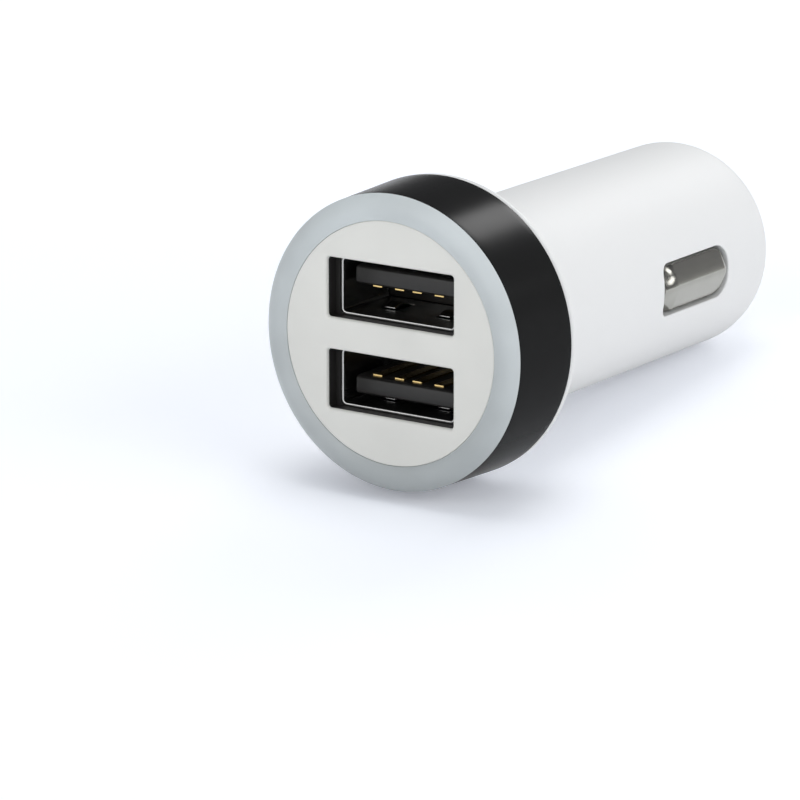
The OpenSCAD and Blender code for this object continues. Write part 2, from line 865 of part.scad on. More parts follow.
body_shell();
trim_band();
light_ring();
face_plate();
port_block();
usb_shell_upper();
usb_shell_lower();
usb_tongue_upper();
usb_tongue_lower();
usb_pins_upper();
usb_pins_lower();
light_board();
light_diodes();
main_board();
inductor_core();
inductor_winding();
input_capacitor();
output_capacitor();
converter_chip();
rectifier_diode();
charge_chips();
chip_resistors();
input_fuse();
ground_terminal_right();
ground_terminal_left();
side_spring_right();
side_spring_left();
side_contact_right();
side_contact_left();
spring_seat();
tip_spring();
tip_contact();
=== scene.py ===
"""Looks of a twin-port car charger plug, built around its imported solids.

All pieces are in metres in the frame of the solids: the barrel's axis runs along +Y and leaves
through the tip, the ports face -Y, and the origin is where the straight barrel begins.
"""
import json
import math

import bmesh
import bpy
from bpy.props import FloatProperty, FloatVectorProperty, PointerProperty
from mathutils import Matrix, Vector
from mathutils.geometry import tessellate_polygon


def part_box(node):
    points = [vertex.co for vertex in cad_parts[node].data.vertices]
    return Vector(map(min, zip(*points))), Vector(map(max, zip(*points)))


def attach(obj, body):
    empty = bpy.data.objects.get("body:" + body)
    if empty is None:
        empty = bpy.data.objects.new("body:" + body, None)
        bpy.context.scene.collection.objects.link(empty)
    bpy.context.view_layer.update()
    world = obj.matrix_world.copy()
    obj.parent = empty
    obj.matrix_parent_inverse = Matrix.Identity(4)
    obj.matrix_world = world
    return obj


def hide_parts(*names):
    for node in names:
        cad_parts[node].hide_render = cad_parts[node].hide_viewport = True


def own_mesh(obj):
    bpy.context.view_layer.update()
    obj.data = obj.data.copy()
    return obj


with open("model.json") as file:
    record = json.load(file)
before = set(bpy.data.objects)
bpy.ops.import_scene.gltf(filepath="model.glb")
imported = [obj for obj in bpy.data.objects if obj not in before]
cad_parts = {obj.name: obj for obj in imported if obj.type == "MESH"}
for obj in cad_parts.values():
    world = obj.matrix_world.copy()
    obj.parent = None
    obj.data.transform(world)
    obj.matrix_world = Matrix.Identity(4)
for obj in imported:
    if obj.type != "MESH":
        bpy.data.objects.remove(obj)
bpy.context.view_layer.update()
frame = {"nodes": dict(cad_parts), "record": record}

bl_info = {
    "name": "Car charger plug",
    "version": (1, 0, 0),
    "blender": (4, 5, 0),
    "location": "View3D > Sidebar > Charger",
    "description": "Builds the surfaces, materials and studio of a twin-port car charger plug",
    "category": "Object",
}

MM = 0.001
SIDES = {"right": 1, "left": -1}
PORTS = {"upper": 1, "lower": -1}


def span(node):
    """Lowest and highest corner of a solid, in millimetres."""
    low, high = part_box(node)
    return Vector(low) / MM, Vector(high) / MM


# Lengths are in millimetres where nothing else is said; places are taken from the solids

FIT = 0.05
TINY = 0.01

# Body: the barrel, the rim behind the head, the neck between them and the cup inside the head
BARREL = next(m for m in frame["record"]["mounts"] if m["name"] == "socket_barrel")
BODY_HIGH = span("body_shell")[1]
BARREL_R = BARREL["dims"]["r_mm"]
BARREL_STRAIGHT = BARREL["dims"]["length_mm"]
BARREL_END = BODY_HIGH.y
BARREL_END_R = BARREL_END - BARREL_STRAIGHT
BODY_WALL = 1.5
END_WALL = 2.0
RIM_R = BODY_HIGH.x
RIM_LEN = 1.1
RIM_STEP = 0.2

# Head: band, light ring and face plate
BAND_LOW, BAND_HIGH = span("trim_band")
RING_LOW, RING_HIGH = span("light_ring")
PLATE_LOW, PLATE_HIGH = span("face_plate")
BAND_FRONT = BAND_LOW.y
BAND_BACK = BAND_HIGH.y
BAND_FRONT_R = RING_HIGH.x
BAND_BACK_R = BAND_HIGH.x
BAND_WALL = 0.6
CUP_WALL = 0.95
CUP_RECESS = 0.35
NECK_LEN = -BAND_BACK - RIM_LEN
NECK_R = RIM_R - RIM_LEN / 2
NECK_DROP = NECK_R - BARREL_R
NECK_FILLET = (NECK_LEN ** 2 + NECK_DROP ** 2) / (2 * NECK_DROP)
CUP_R = BAND_FRONT_R - BAND_WALL - FIT
CUP_IN_R = CUP_R - CUP_WALL
CUP_FRONT = BAND_FRONT + CUP_RECESS
LEDGE_Y = span("light_board")[1].y
LEDGE_W = 0.9
RING_GAP = 0.02
RING_IN_R = PLATE_HIGH.x + RING_GAP
RING_STEP = 0.3
RING_CROWN = 0.62
PLATE_FRONT = PLATE_LOW.y
PLATE_R = PLATE_HIGH.x
PLATE_T = 2.0
PLATE_SKIRT = 0.8

# Ports: openings, sleeves with their springs, tongues and gold strips
SHELL_LOW, SHELL_HIGH = span("usb_shell_upper")
PORT_W = 14.3
PORT_H = 5.8
PORT_LIP = 0.4
PORT_CORNER = 0.35
PORT_CORNER_GROWTH = 0.8
LINER_WALL = 0.5
SHELL_W = SHELL_HIGH.x - SHELL_LOW.x
SHELL_H = 5.72
SHELL_WALL = 0.3
SHELL_CORNER = 0.5
SHELL_EDGE = 0.06
SHELL_FRONT = SHELL_LOW.y
SHELL_BACK = SHELL_HIGH.y
PORT_Z = {
    name: span("usb_shell_" + name)[1 if side > 0 else 0].z - side * SHELL_H / 2
    for name, side in PORTS.items()
}
PORT_SPRING_X = 3.1
PORT_SPRING_W = 1.24
PORT_SPRING_ROOT = 6.2
PORT_SPRING_FREE = 3.2
PORT_FREE_GAP = 0.5
SPRING_SWEEP = 0.86
SPRING_EASE = 1.3
PORT_SLIT = 0.28
SHEET_STATIONS = (0, 0.08, 0.2, *(0.5 + 0.3 * i for i in range(20)), 7.4)
TONGUE_FRONT = span("usb_tongue_upper")[0].y
TONGUE_T = 1.84
TONGUE_W = 11.1
TONGUE_BASE = 2.0
TONGUE_NOSE = 0.35
TONGUE_EDGE = 0.08
PIN_XS = (-3.5, -1.0, 1.0, 3.5)
PIN_NOSE = ((0.75, -0.02), (0.95, -0.1), (1.6, -0.14), (2.4, -0.16), (3.4, -0.1))
PIN_W = 0.9
PIN_T = 0.08
PIN_EDGE = 0.03

# Side windows and the contacts in them; the nose is the contact's front end, the heel its rear
CONTACT_LOW, CONTACT_HIGH = span("side_contact_right")
WINDOW_GAP = 0.25
WINDOW_Y = (CONTACT_LOW.y + CONTACT_HIGH.y) / 2
WINDOW_LEN = 12.05
WINDOW_H = 5.3
WINDOW_FRONT_R = 0.9
WINDOW_REAR_R = 1.9
CONTACT_SLOPE = 0.42
NOSE_LEN = 2.03
NOSE_DROP = 0.21
NOSE_DOME = 0.105
NOSE_ONSET = 2.5
HEEL_LEN = 0.8
HEEL_DROP = 0.3
FLANGE_T = 0.8
FLANGE_CORNER = 0.5
FLANGE_EDGE = 0.1
PIP_R = 1.05

# Tip
TIP_LOW, TIP_HIGH = span("tip_contact")
TIP_R = 3.5
TIP_GAP = 0.1
TIP_HOLE_R = TIP_R + TIP_GAP
TIP_HOLE_LIP = 0.25
TIP_FLANGE_R = TIP_HIGH.x
TIP_FLANGE_T = 1.0
TIP_FLANGE_Y = BARREL_END - END_WALL - TIP_FLANGE_T - FIT
TIP_NOSE_R = TIP_R * 0.74
TIP_SHOULDER = 0.45
TIP_EDGE = 0.12
TIP_FILLET = 0.3
TIP_DOME = 1.6

# Wire coils
TIP_COIL_R = TIP_R * 0.714
TIP_WIRE_R = 0.25
SPIGOT_GAP = 0.2
SIDE_COIL_R = 1.4
SIDE_WIRE_R = 0.2
WIRE_GAP = 0.03
CLOSED_PITCH = 2.1
COIL_TURNS = 4
CLOSED_TURNS = 0.8

# Fineness of the meshes: points per turn, points along a path, and where windows are cut in
BODY_ROUND = 192
HEAD_ROUND = 256
TIP_ROUND = 128
CROWN_ROUND = 224
CROWN_LOOPS = 80
PIP_ROUND = 32
COIL_STEPS = 48
WIRE_SIDES = 16
CORNER_STEPS = 8
EDGE_STEPS = 6
WINDOW_COLUMNS = 12
WINDOW_MARGIN = 1.6
WINDOW_CLOSING = (1.0, 0.75, 0.5, 0.36)
COARSE_MERGE = 0.002
BEVEL_FROM = 30.0

# Heights of the relief in the finishes, in metres
GRAIN_HEIGHT = 0.00002
LINE_HEIGHT = 0.00001

# Camera of the photograph; it looks at a point beside and below the band's front
VIEW_AZIMUTH = math.radians(34.342)
VIEW_ELEVATION = math.radians(14.784)
VIEW_DISTANCE = 468.24
AIM_RIGHT = 0.715
AIM_DOWN = 5.32
LENS = 225.0
SENSOR = 36.0

# Studio; colours are linear, and the floor glows to the camera by distance in metres
FLOOR_SIZE = 6000.0
FLOOR_GAP = 0.02
FLOOR_COLOUR = (0.88, 0.89, 0.92)
# Blue tint of the floor's glow to the camera: painted bluish light in the floor's shadows
FLOOR_PAINTED_SHADOW_TINT = (0.93, 0.97, 1.08)
FLOOR_GLOW = {"From Min": 0.15, "From Max": 1.2, "To Min": 0.24, "To Max": 1.0}
ROOM_LIGHT = (0.88, 0.94, 1)
ROOM_STRENGTH = 0.34
ROOM_GREYS = ((0.02, (1, 1, 1)), (0.2, (0.24, 0.24, 0.25)), (0.55, (0.1, 0.1, 0.11)))
LAMP_AIM = 8.0

# Name, direction, distance and size in metres, power, whether it is mirrored, whether it lights
LAMPS = (
    ("streak", (0.043, 0.795, 0.604), 0.75, (0.2, 0.2), 2.8, True, False),
    ("back_key", (-0.1, 0.795, 0.75), 0.75, (0.4, 0.4), 1.0, False, True),
    ("left_back", (-0.7, 0.5, 0.8), 0.9, (0.4, 0.4), 0.85, False, True),
    ("overhead", (0, 0, 1), 0.9, (0.5, 0.5), 1.8, False, True),
    ("front_fill", (-0.2, -1.0, 0.35), 0.9, (0.8, 0.6), 2.45, True, True),
    ("right_fill", (1.0, -0.2, 0.4), 0.9, (0.6, 0.6), 2.3, False, True),
    ("right_low", (1.0, 0.15, 0.25), 0.9, (0.6, 0.6), 1.8, False, True),
    ("high_glint", (0.698, 0.497, 0.516), 0.9, (0.13, 0.13), 0.25, True, False),
    ("low_glint", (0.622, 0.695, 0.362), 0.9, (0.09, 0.09), 0.12, True, False),
)


def measure(name, description, default, low, high):
    """A length setting, given in millimetres and kept in metres."""
    return FloatProperty(
        name=name, description=description, default=default * MM, min=low * MM, max=high * MM,
        unit="LENGTH", precision=5)


def colour(name, description, default):
    """A colour setting in linear values."""
    return FloatVectorProperty(
        name=name, description=description, subtype="COLOR", size=3, min=0, max=1, default=default)


class ChargerSizes(bpy.types.PropertyGroup):
    """Edge radii and small forms that the surfaces add to the solids."""

    window_edge: measure("Window edge", "Rounding of the side windows' edges", 0.16, 0.05, 0.4)
    band_edge: measure("Band edge", "Rounding of the black band's edges", 0.16, 0.05, 0.25)
    plate_edge: measure("Plate edge", "Rounding of the face plate's outer edge", 0.1, 0.05, 0.3)
    port_edge: measure("Port edge", "Rounding of the edges of both openings", 0.3, 0.1, 0.38)
    spring_rise: measure(
        "Spring rise", "How far the port shells' springs stand into the opening", 0.55, 0.2, 0.7)
    ridge_radius: measure(
        "Ridge radius", "Rounding of the ridge along each side contact", 0.25, 0.1, 0.5)
    contact_edge: measure(
        "Contact edge", "Rounding of the crown's edge on each side contact", 0.18, 0.1, 0.6)


class ChargerColours(bpy.types.PropertyGroup):
    """Base colours of the visible finishes."""

    body: colour("Body", "White moulding", (0.82, 0.815, 0.805))
    band: colour("Band", "Gloss black band", (0.017, 0.017, 0.017))
    ring: colour("Light ring", "Grey diffuser, unlit", (0.66, 0.70, 0.705))
    plate: colour("Face plate", "Warm white face", (0.86, 0.85, 0.80))
    lining: colour("Lining", "Black carrier of the ports", (0.012, 0.011, 0.010))
    plating: colour("Plating", "Nickel of the sprung contacts", (0.39, 0.385, 0.352))


def sizes():
    return bpy.context.scene.charger_sizes


def colours():
    return bpy.context.scene.charger_colours


# Outlines


def arc(centre, radius, start, end, count):
    """Points (r, y) along an arc; angles in degrees from +r towards +y."""
    points = []
    for i in range(count + 1):
        angle = math.radians(start + (end - start) * i / count)
        points.append((centre[0] + radius * math.cos(angle), centre[1] + radius * math.sin(angle)))
    return points


def line(start, end, count):
    """Points from start towards end, without the end."""
    return [
        (start[0] + (end[0] - start[0]) * i / count, start[1] + (end[1] - start[1]) * i / count)
        for i in range(count)
    ]


def rounded_distance(a, b, half_a, half_b, radius):
    """Signed distance of the point (a, b) from a rounded rectangle's outline."""
    qa, qb = abs(a) - half_a + radius, abs(b) - half_b + radius
    outside = math.hypot(max(qa, 0), max(qb, 0))
    return outside + min(max(qa, qb), 0) - radius


def window_distance(z, y, grow):
    """Signed distance from the side window's outline, which is rounder at its rear."""
    radius = WINDOW_FRONT_R if y < 0 else WINDOW_REAR_R
    return rounded_distance(z, y, WINDOW_H / 2 + grow, WINDOW_LEN / 2 + grow, radius + grow)


def along_ray(direction, distance):
    """The point along a ray from the middle at which a signed distance is zero."""
    low, high = 0.0, 40.0
    for _ in range(48):
        middle = (low + high) / 2
        if distance(direction[0] * middle, direction[1] * middle) < 0:
            low = middle
        else:
            high = middle
    return direction[0] * low, direction[1] * low


def rounded_rectangle(width, height, radius):
    """Closed outline (x, z), anticlockwise, with the same number of points for any size."""
    half_w, half_h = width / 2 - radius, height / 2 - radius
    corners = (
        (half_w, half_h, 0), (-half_w, half_h, 90), (-half_w, -half_h, 180), (half_w, -half_h, 270))
    points = []
    for index, (x, z, turn) in enumerate(corners):
        points += arc((x, z), radius, turn, turn + 90, CORNER_STEPS)
        after = corners[(index + 1) % 4]
        angle = math.radians(after[2])
        end = (after[0] + radius * math.cos(angle), after[1] + radius * math.sin(angle))
        points += line(points[-1], end, EDGE_STEPS)[1:]
    return points


def quarter_round(radius):
    """Steps (outwards, inwards) of a rounded edge, from the outer face to the wall below it."""
    return [
        (radius - radius * math.sin(a), radius - radius * math.cos(a))
        for a in (math.radians(degrees) for degrees in range(0, 91, 15))
    ]


# Meshes


class Surface:
    """Collects points in millimetres and faces, and turns them into one piece."""

    def __init__(self):
        self.points = []
        self.faces = []

    def add(self, points):
        first = len(self.points)
        self.points += [tuple(p) for p in points]
        return list(range(first, first + len(points)))

    def bridge(self, one, other):
        """Joins two loops of the same length with quads."""
        count = len(one)
        for i in range(count):
            after = (i + 1) % count
            self.faces.append((one[i], one[after], other[after], other[i]))

    def chain(self, loops):
        """Joins each loop to the next one."""
        for one, other in zip(loops, loops[1:]):
            self.bridge(one, other)

    def cap(self, first, last):
        """Closes both ends of a chain of loops."""
        self.faces.append(tuple(first))
        self.faces.append(tuple(reversed(last)))

    def prism(self, *loops):
        """Adds loops of points, joins each to the next one and closes both ends."""
        added = [self.add(points) for points in loops]
        self.chain(added)
        self.cap(added[0], added[-1])

    def fill(self, loops, flip=False):
        """Fills a flat outline with holes."""
        corners = [[Vector(self.points[i]) for i in loop] for loop in loops]
        flat = [i for loop in loops for i in loop]
        for triangle in tessellate_polygon(corners):
            face = tuple(flat[i] for i in triangle)
            self.faces.append(face[::-1] if flip else face)

    def turned(self, profile, closed=False, count=BODY_ROUND):
        """Turns a profile of (radius, y) about the axis, and returns its rings."""
        angles = [2 * math.pi * j / count for j in range(count)]
        rings = [
            self.add([(radius * math.cos(a), y, radius * math.sin(a)) for a in angles])
            for radius, y in profile
        ]
        self.chain(rings)
        if closed:
            self.bridge(rings[-1], rings[0])
        return rings

    def mesh(self, name, merge=0.0005):
        """A mesh in metres with outward faces; points nearer than merge become one."""
        mesh = bpy.data.meshes.new(name)
        mesh.from_pydata([tuple(c * MM for c in p) for p in self.points], [], self.faces)
        work = bmesh.new()
        work.from_mesh(mesh)
        bmesh.ops.remove_doubles(work, verts=work.verts, dist=merge * MM)
        loose = [v for v in work.verts if not v.link_faces]
        bmesh.ops.delete(work, geom=loose, context="VERTS")
        bmesh.ops.dissolve_degenerate(work, edges=work.edges, dist=merge * MM)
        bmesh.ops.recalc_face_normals(work, faces=work.faces)
        work.to_mesh(mesh)
        work.free()
        return mesh


def make_piece(name, mesh, material, body, replaced, smooth_angle=32.0):
    """Adds a mesh as a piece that rides on a body and stands for solids."""
    piece = bpy.data.objects.new(name, mesh)
    bpy.context.scene.collection.objects.link(piece)
    mesh.materials.append(material)
    mesh.shade_smooth()
    mesh.set_sharp_from_angle(angle=math.radians(smooth_angle))
    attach(piece, body)
    if replaced:
        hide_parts(*replaced)
    return piece


def bevelled(mesh, width):
    """Rounds a mesh's sharp edges."""
    work = bmesh.new()
    work.from_mesh(mesh)
    edges = [
        e for e in work.edges
        if len(e.link_faces) == 2 and e.calc_face_angle(0) > math.radians(BEVEL_FROM)
    ]
    bmesh.ops.bevel(
        work, geom=edges, offset=width * MM, segments=2, profile=0.5,
        affect="EDGES", clamp_overlap=True)
    work.to_mesh(mesh)
    work.free()
    return mesh


# Materials


def socket(tree, name, kind, default=None, output=False):
    """Adds a socket to a node group."""
    made = tree.interface.new_socket(
        name=name, in_out="OUTPUT" if output else "INPUT", socket_type="NodeSocket" + kind)
    if default is not None:
        made.default_value = default
    return made


def node(tree, kind, values=None, **settings):
    """Adds a shader node with its settings and the values on its sockets."""
    made = tree.nodes.new("ShaderNode" + kind)
    for key, value in settings.items():
        setattr(made, key, value)
    for key, value in (values or {}).items():
        made.inputs[key].default_value = value
    return made


def link(source, output, target, into):
    """Links two nodes of one tree by the names or numbers of their sockets."""
    source.id_data.links.new(source.outputs[output], target.inputs[into])


def effect_group(name, inputs):
    """A new effect group that gives a colour, a roughness and a height, and its two end nodes."""
    tree = bpy.data.node_groups.new(name, "ShaderNodeTree")
    for key, kind, value in inputs:
        socket(tree, key, kind, value)
    for key, kind in (("Colour", "Color"), ("Roughness", "Float"), ("Height", "Float")):
        socket(tree, key, kind, output=True)
    return tree, tree.nodes.new("NodeGroupInput"), tree.nodes.new("NodeGroupOutput")


def blend(start, end, darker, share, output):
    """Mixes the group's colour with its darker one by the share that a node gives."""
    mixed = node(start.id_data, "Mix", data_type="RGBA")
    link(share, output, mixed, "Factor")
    link(start, "Colour", mixed, 6)
    link(start, darker, mixed, 7)
    link(mixed, 2, end, "Colour")


def uneven_roughness(start, end, texture):
    """Lets the group's roughness wander about its value with a texture."""
    centred = node(start.id_data, "Math", {1: 0.5}, operation="SUBTRACT")
    spread = node(start.id_data, "Math", operation="MULTIPLY_ADD")
    link(texture, "Fac", centred, 0)
    link(centred, 0, spread, 0)
    link(start, "Roughness Spread", spread, 1)
    link(start, "Roughness", spread, 2)
    link(spread, 0, end, "Roughness")


def moulded_group():
    """Moulded plastic: a fine grain, a slow unevenness and faint flow marks, and painted shade that
    darkens it towards the bottom by the given fall.
    """
    found = bpy.data.node_groups.get("moulded_grain")
    if found:
        return found
    tree, start, end = effect_group("moulded_grain", (
        ("Colour", "Color", (0.8, 0.8, 0.8, 1)), ("Shade", "Color", (0.7, 0.7, 0.7, 1)),
        ("Fade", "Vector", (0.0, 0.0, 0.0)), ("Grain Scale", "Float", 9000.0),
        ("Grain Depth", "Float", 0.5), ("Roughness", "Float", 0.35),
        ("Roughness Spread", "Float", 0.06)))
    place = node(tree, "TexCoord")
    grain = node(tree, "TexNoise", {"Detail": 3.0})
    slow = node(tree, "TexNoise", {"Scale": 120.0, "Detail": 2.0})
    flow = node(tree, "TexNoise", {"Scale": 420.0, "Detail": 4.0, "Distortion": 0.6})
    for texture in (grain, slow, flow):
        link(place, "Object", texture, "Vector")
    link(start, "Grain Scale", grain, "Scale")
    # Painted shade: the height along the fall darkens the colour towards the bottom
    along = node(tree, "VectorMath", operation="DOT_PRODUCT")
    link(place, "Object", along, 0)
    link(start, "Fade", along, 1)
    share = node(tree, "Math", operation="ADD", use_clamp=True)
    link(slow, "Fac", share, 0)
    link(along, "Value", share, 1)
    blend(start, end, "Shade", share, 0)
    uneven_roughness(start, end, flow)
    height = node(tree, "Math", operation="MULTIPLY")
    link(grain, "Fac", height, 0)
    link(start, "Grain Depth", height, 1)
    link(height, 0, end, "Height")
    return tree


def drawn_group():
    """Drawn or rolled metal: fine lines along one direction with a little tarnish."""
    found = bpy.data.node_groups.get("drawn_lines")
    if found:
        return found
    tree, start, end = effect_group("drawn_lines", (
        ("Colour", "Color", (0.6, 0.6, 0.6, 1)), ("Tarnish", "Color", (0.4, 0.4, 0.4, 1)),
        ("Stretch", "Vector", (1.0, 0.04, 1.0)), ("Line Scale", "Float", 6000.0),
        ("Roughness", "Float", 0.2), ("Roughness Spread", "Float", 0.1)))
    place = node(tree, "TexCoord")
    stretched = node(tree, "VectorMath", operation="MULTIPLY")
    lines = node(tree, "TexNoise", {"Detail": 3.0})
    cloud = node(tree, "TexNoise", {"Scale": 500.0, "Detail": 3.0})
    link(place, "Object", stretched, 0)
    link(start, "Stretch", stretched, 1)
    link(stretched, 0, lines, "Vector")
    link(start, "Line Scale", lines, "Scale")
    link(place, "Object", cloud, "Vector")
    blend(start, end, "Tarnish", cloud, "Fac")
    uneven_roughness(start, end, lines)
    link(lines, "Fac", end, "Height")
    return tree


def surface_material(name, group, values, bump, height, plain):
    """A Principled material fed by an effect group; plain values sit on the shader's sockets."""
    found = bpy.data.materials.get(name)
    if found:
        return found
    material = bpy.data.materials.new(name)
    material.use_nodes = True
    tree = material.node_tree
    shader = tree.nodes["Principled BSDF"]
    effect = node(tree, "Group", values, node_tree=group)
    relief = node(tree, "Bump", {"Strength": bump, "Distance": height})
    link(effect, "Colour", shader, "Base Color")
    link(effect, "Roughness", shader, "Roughness")
    link(effect, "Height", relief, "Height")
    link(relief, "Normal", shader, "Normal")
    for key, value in plain.items():
        shader.inputs[key].default_value = value
    material.diffuse_color = (*values["Colour"][:3], 1)
    return material


def shaded(rgb, factor):
    return (*(c * factor for c in rgb), 1)


def moulded(name, rgb, shade, roughness, spread, scale, bump, painted_shade_fall=0.0, **plain):
    """A plastic finish; a painted shade fall above zero darkens it towards the bottom, which is
    painted shade.
    """
    return surface_material(
        name, moulded_group(),
        {
            "Colour": shaded(rgb, 1), "Shade": shaded(rgb, shade), "Fade": (0, 0, -painted_shade_fall),
            "Grain Scale": scale, "Grain Depth": 1.0,
            "Roughness": roughness, "Roughness Spread": spread,
        },
        bump, GRAIN_HEIGHT, {key.replace("_", " "): value for key, value in plain.items()})


def metal(name, rgb, tarnish, roughness, spread, stretch, bump=0.1):
    """A plated, drawn or rolled metal finish."""
    return surface_material(
        name, drawn_group(),
        {
            "Colour": shaded(rgb, 1), "Tarnish": shaded(rgb, tarnish), "Stretch": stretch,
            "Roughness": roughness, "Roughness Spread": spread,
        },
        bump, LINE_HEIGHT, {"Metallic": 1.0})


def body_finish():
    return moulded(
        "white_moulding", colours().body, 0.985, 0.58, 0.05, 7000.0, 0.05, Specular_IOR_Level=0.13)


def band_finish():
    return moulded("gloss_black", colours().band, 0.8, 0.24, 0.04, 5000.0, 0.03, IOR=1.08)


def ring_finish():
    # Painted shade: the diffuser darkens towards its bottom with a fall of 38
    return moulded("frosted_diffuser", colours().ring, 0.62, 0.42, 0.06, 11000.0, 0.12, 38.0)


def plate_finish():
    # Painted shade: the face darkens towards its bottom with a fall of 30
    return moulded("fine_matt_face", colours().plate, 0.86, 0.5, 0.06, 14000.0, 0.3, 30.0)


def lining_finish():
    return moulded("matt_black", colours().lining, 0.8, 0.45, 0.1, 12000.0, 0.3)


def plating_finish():
    return metal("nickel_plate", colours().plating, 0.88, 0.16, 0.08, (1, 0.03, 1), 0.015)


INNER_FINISHES = {
    "shell_metal": lambda: metal("tinned_sheet", (0.56, 0.56, 0.55), 0.8, 0.24, 0.12, (1, 0.05, 1)),
    "gold_contact": lambda: metal("gold_plate", (0.85, 0.62, 0.26), 0.85, 0.2, 0.08, (1, 0.05, 1)),
    "seat_brass": lambda: metal("stamped_brass", (0.72, 0.54, 0.26), 0.75, 0.3, 0.1, (1, 0.1, 1)),
    "spring_steel": lambda: metal("spring_wire", (0.5, 0.51, 0.53), 0.75, 0.25, 0.1, (1, 1, 1)),
    "capacitor_can": lambda: metal("drawn_can", (0.62, 0.63, 0.65), 0.85, 0.28, 0.1, (1, 1, 0.05)),
    "copper_wire": lambda: metal("enamelled_copper", (0.6, 0.26, 0.1), 0.7, 0.28, 0.1, (1, 1, 20)),
    "board_green": lambda: moulded("solder_mask", (0.02, 0.15, 0.07), 0.75, 0.3, 0.08, 3000.0, 0.2),
    "board_white": lambda: moulded("white_mask", (0.78, 0.78, 0.75), 0.95, 0.35, 0.08, 3000.0, 0.2),
    "chip_black": lambda: moulded("chip_epoxy", (0.022, 0.022, 0.024), 0.7, 0.55, 0.1, 9000.0, 0.4),
    "ferrite": lambda: moulded("sintered_ferrite", (0.06, 0.06, 0.065), 0.7, 0.7, 0.1, 6000.0, 0.6),
    "resistor_ceramic": lambda: moulded(
        "fired_ceramic", (0.5, 0.47, 0.42), 0.85, 0.5, 0.1, 5000.0, 0.4),
    "diode_lens": lambda: moulded("diode_resin", (0.75, 0.68, 0.3), 0.9, 0.2, 0.05, 4000.0, 0.1),
    "black_liner": lining_finish,
}


# Body


def wall_face(rings, row, column):
    """The corners of one face of a turned wall."""
    here, after = column % BODY_ROUND, (column + 1) % BODY_ROUND
    return frozenset(rings[i][j] for i in (row, row + 1) for j in (here, after))


def window_patch(surface, radius, rows, columns, side, loops):
    """Replaces a rectangle of a turned wall by loops that close in on the side window."""
    first, last = columns
    rectangle = [rows[0][j % BODY_ROUND] for j in range(first, last + 1)]
    rectangle += [row[last % BODY_ROUND] for row in rows[1:]]
    rectangle += [rows[-1][j % BODY_ROUND] for j in range(last - 1, first - 1, -1)]
    rectangle += [row[first % BODY_ROUND] for row in rows[-2:0:-1]]
    made = [rectangle]
    for grow, depth in loops:
        points = []
        for index in rectangle:
            _, y, z = surface.points[index]
            away = math.hypot(z, y - WINDOW_Y)
            ray = (z / away, (y - WINDOW_Y) / away)
            at_z, at_y = along_ray(ray, lambda a, b: window_distance(a, b, grow))
            x = math.sqrt(radius ** 2 - at_z ** 2) - depth
            points.append((side * x, WINDOW_Y + at_y, at_z))
        made.append(surface.add(points))
    surface.chain(made)
    return made[-1]


def body_profile():
    """Outside of the body from the cup's front to the tip hole, then its inside back to the cup."""
    edge = RIM_LEN / 2
    hollow_r = BARREL_R - BODY_WALL
    hollow_end = BARREL_END - END_WALL
    hollow_end_r = BARREL_END_R - BODY_WALL
    fillet = (BARREL_R + NECK_FILLET, 0.0)
    turn = math.degrees(math.asin(NECK_LEN / NECK_FILLET))
    inner_fillet = NECK_FILLET + BODY_WALL
    inner_turn = math.degrees(math.asin(NECK_LEN / inner_fillet))
    hole, lip = TIP_HOLE_R + TIP_HOLE_LIP, TIP_HOLE_LIP
    front = [(CUP_R, CUP_FRONT), (CUP_R, BAND_BACK), (NECK_R - RIM_STEP, BAND_BACK)]
    front += arc((NECK_R, BAND_BACK + edge), edge, -90, 90, 16)
    front += arc(fillet, NECK_FILLET, 180 + turn, 180, 28)[1:]
    straight = line((BARREL_R, 0), (BARREL_R, BARREL_STRAIGHT), 64)[1:]
    rear = arc((BARREL_R - BARREL_END_R, BARREL_STRAIGHT), BARREL_END_R, 0, 90, 32)
    rear += line((BARREL_R - BARREL_END_R, BARREL_END), (hole, BARREL_END), 3)[1:]
    rear += arc((hole, BARREL_END - lip), lip, 90, 180, 6)
    rear += [(TIP_HOLE_R, hollow_end)]
    rear += arc((hollow_r - hollow_end_r, hollow_end - hollow_end_r), hollow_end_r, 90, 0, 16)
    inner_end = hollow_end - hollow_end_r - 0.2
    inner = [(hollow_r, y) for _, y in reversed(straight) if y < inner_end]
    back = arc(fillet, inner_fillet, 180, 180 + inner_turn, 16)
    ledge = CUP_IN_R - LEDGE_W
    back += [(ledge, -NECK_LEN), (ledge, LEDGE_Y), (CUP_IN_R, LEDGE_Y), (CUP_IN_R, CUP_FRONT)]
    return front, straight, rear, inner, back


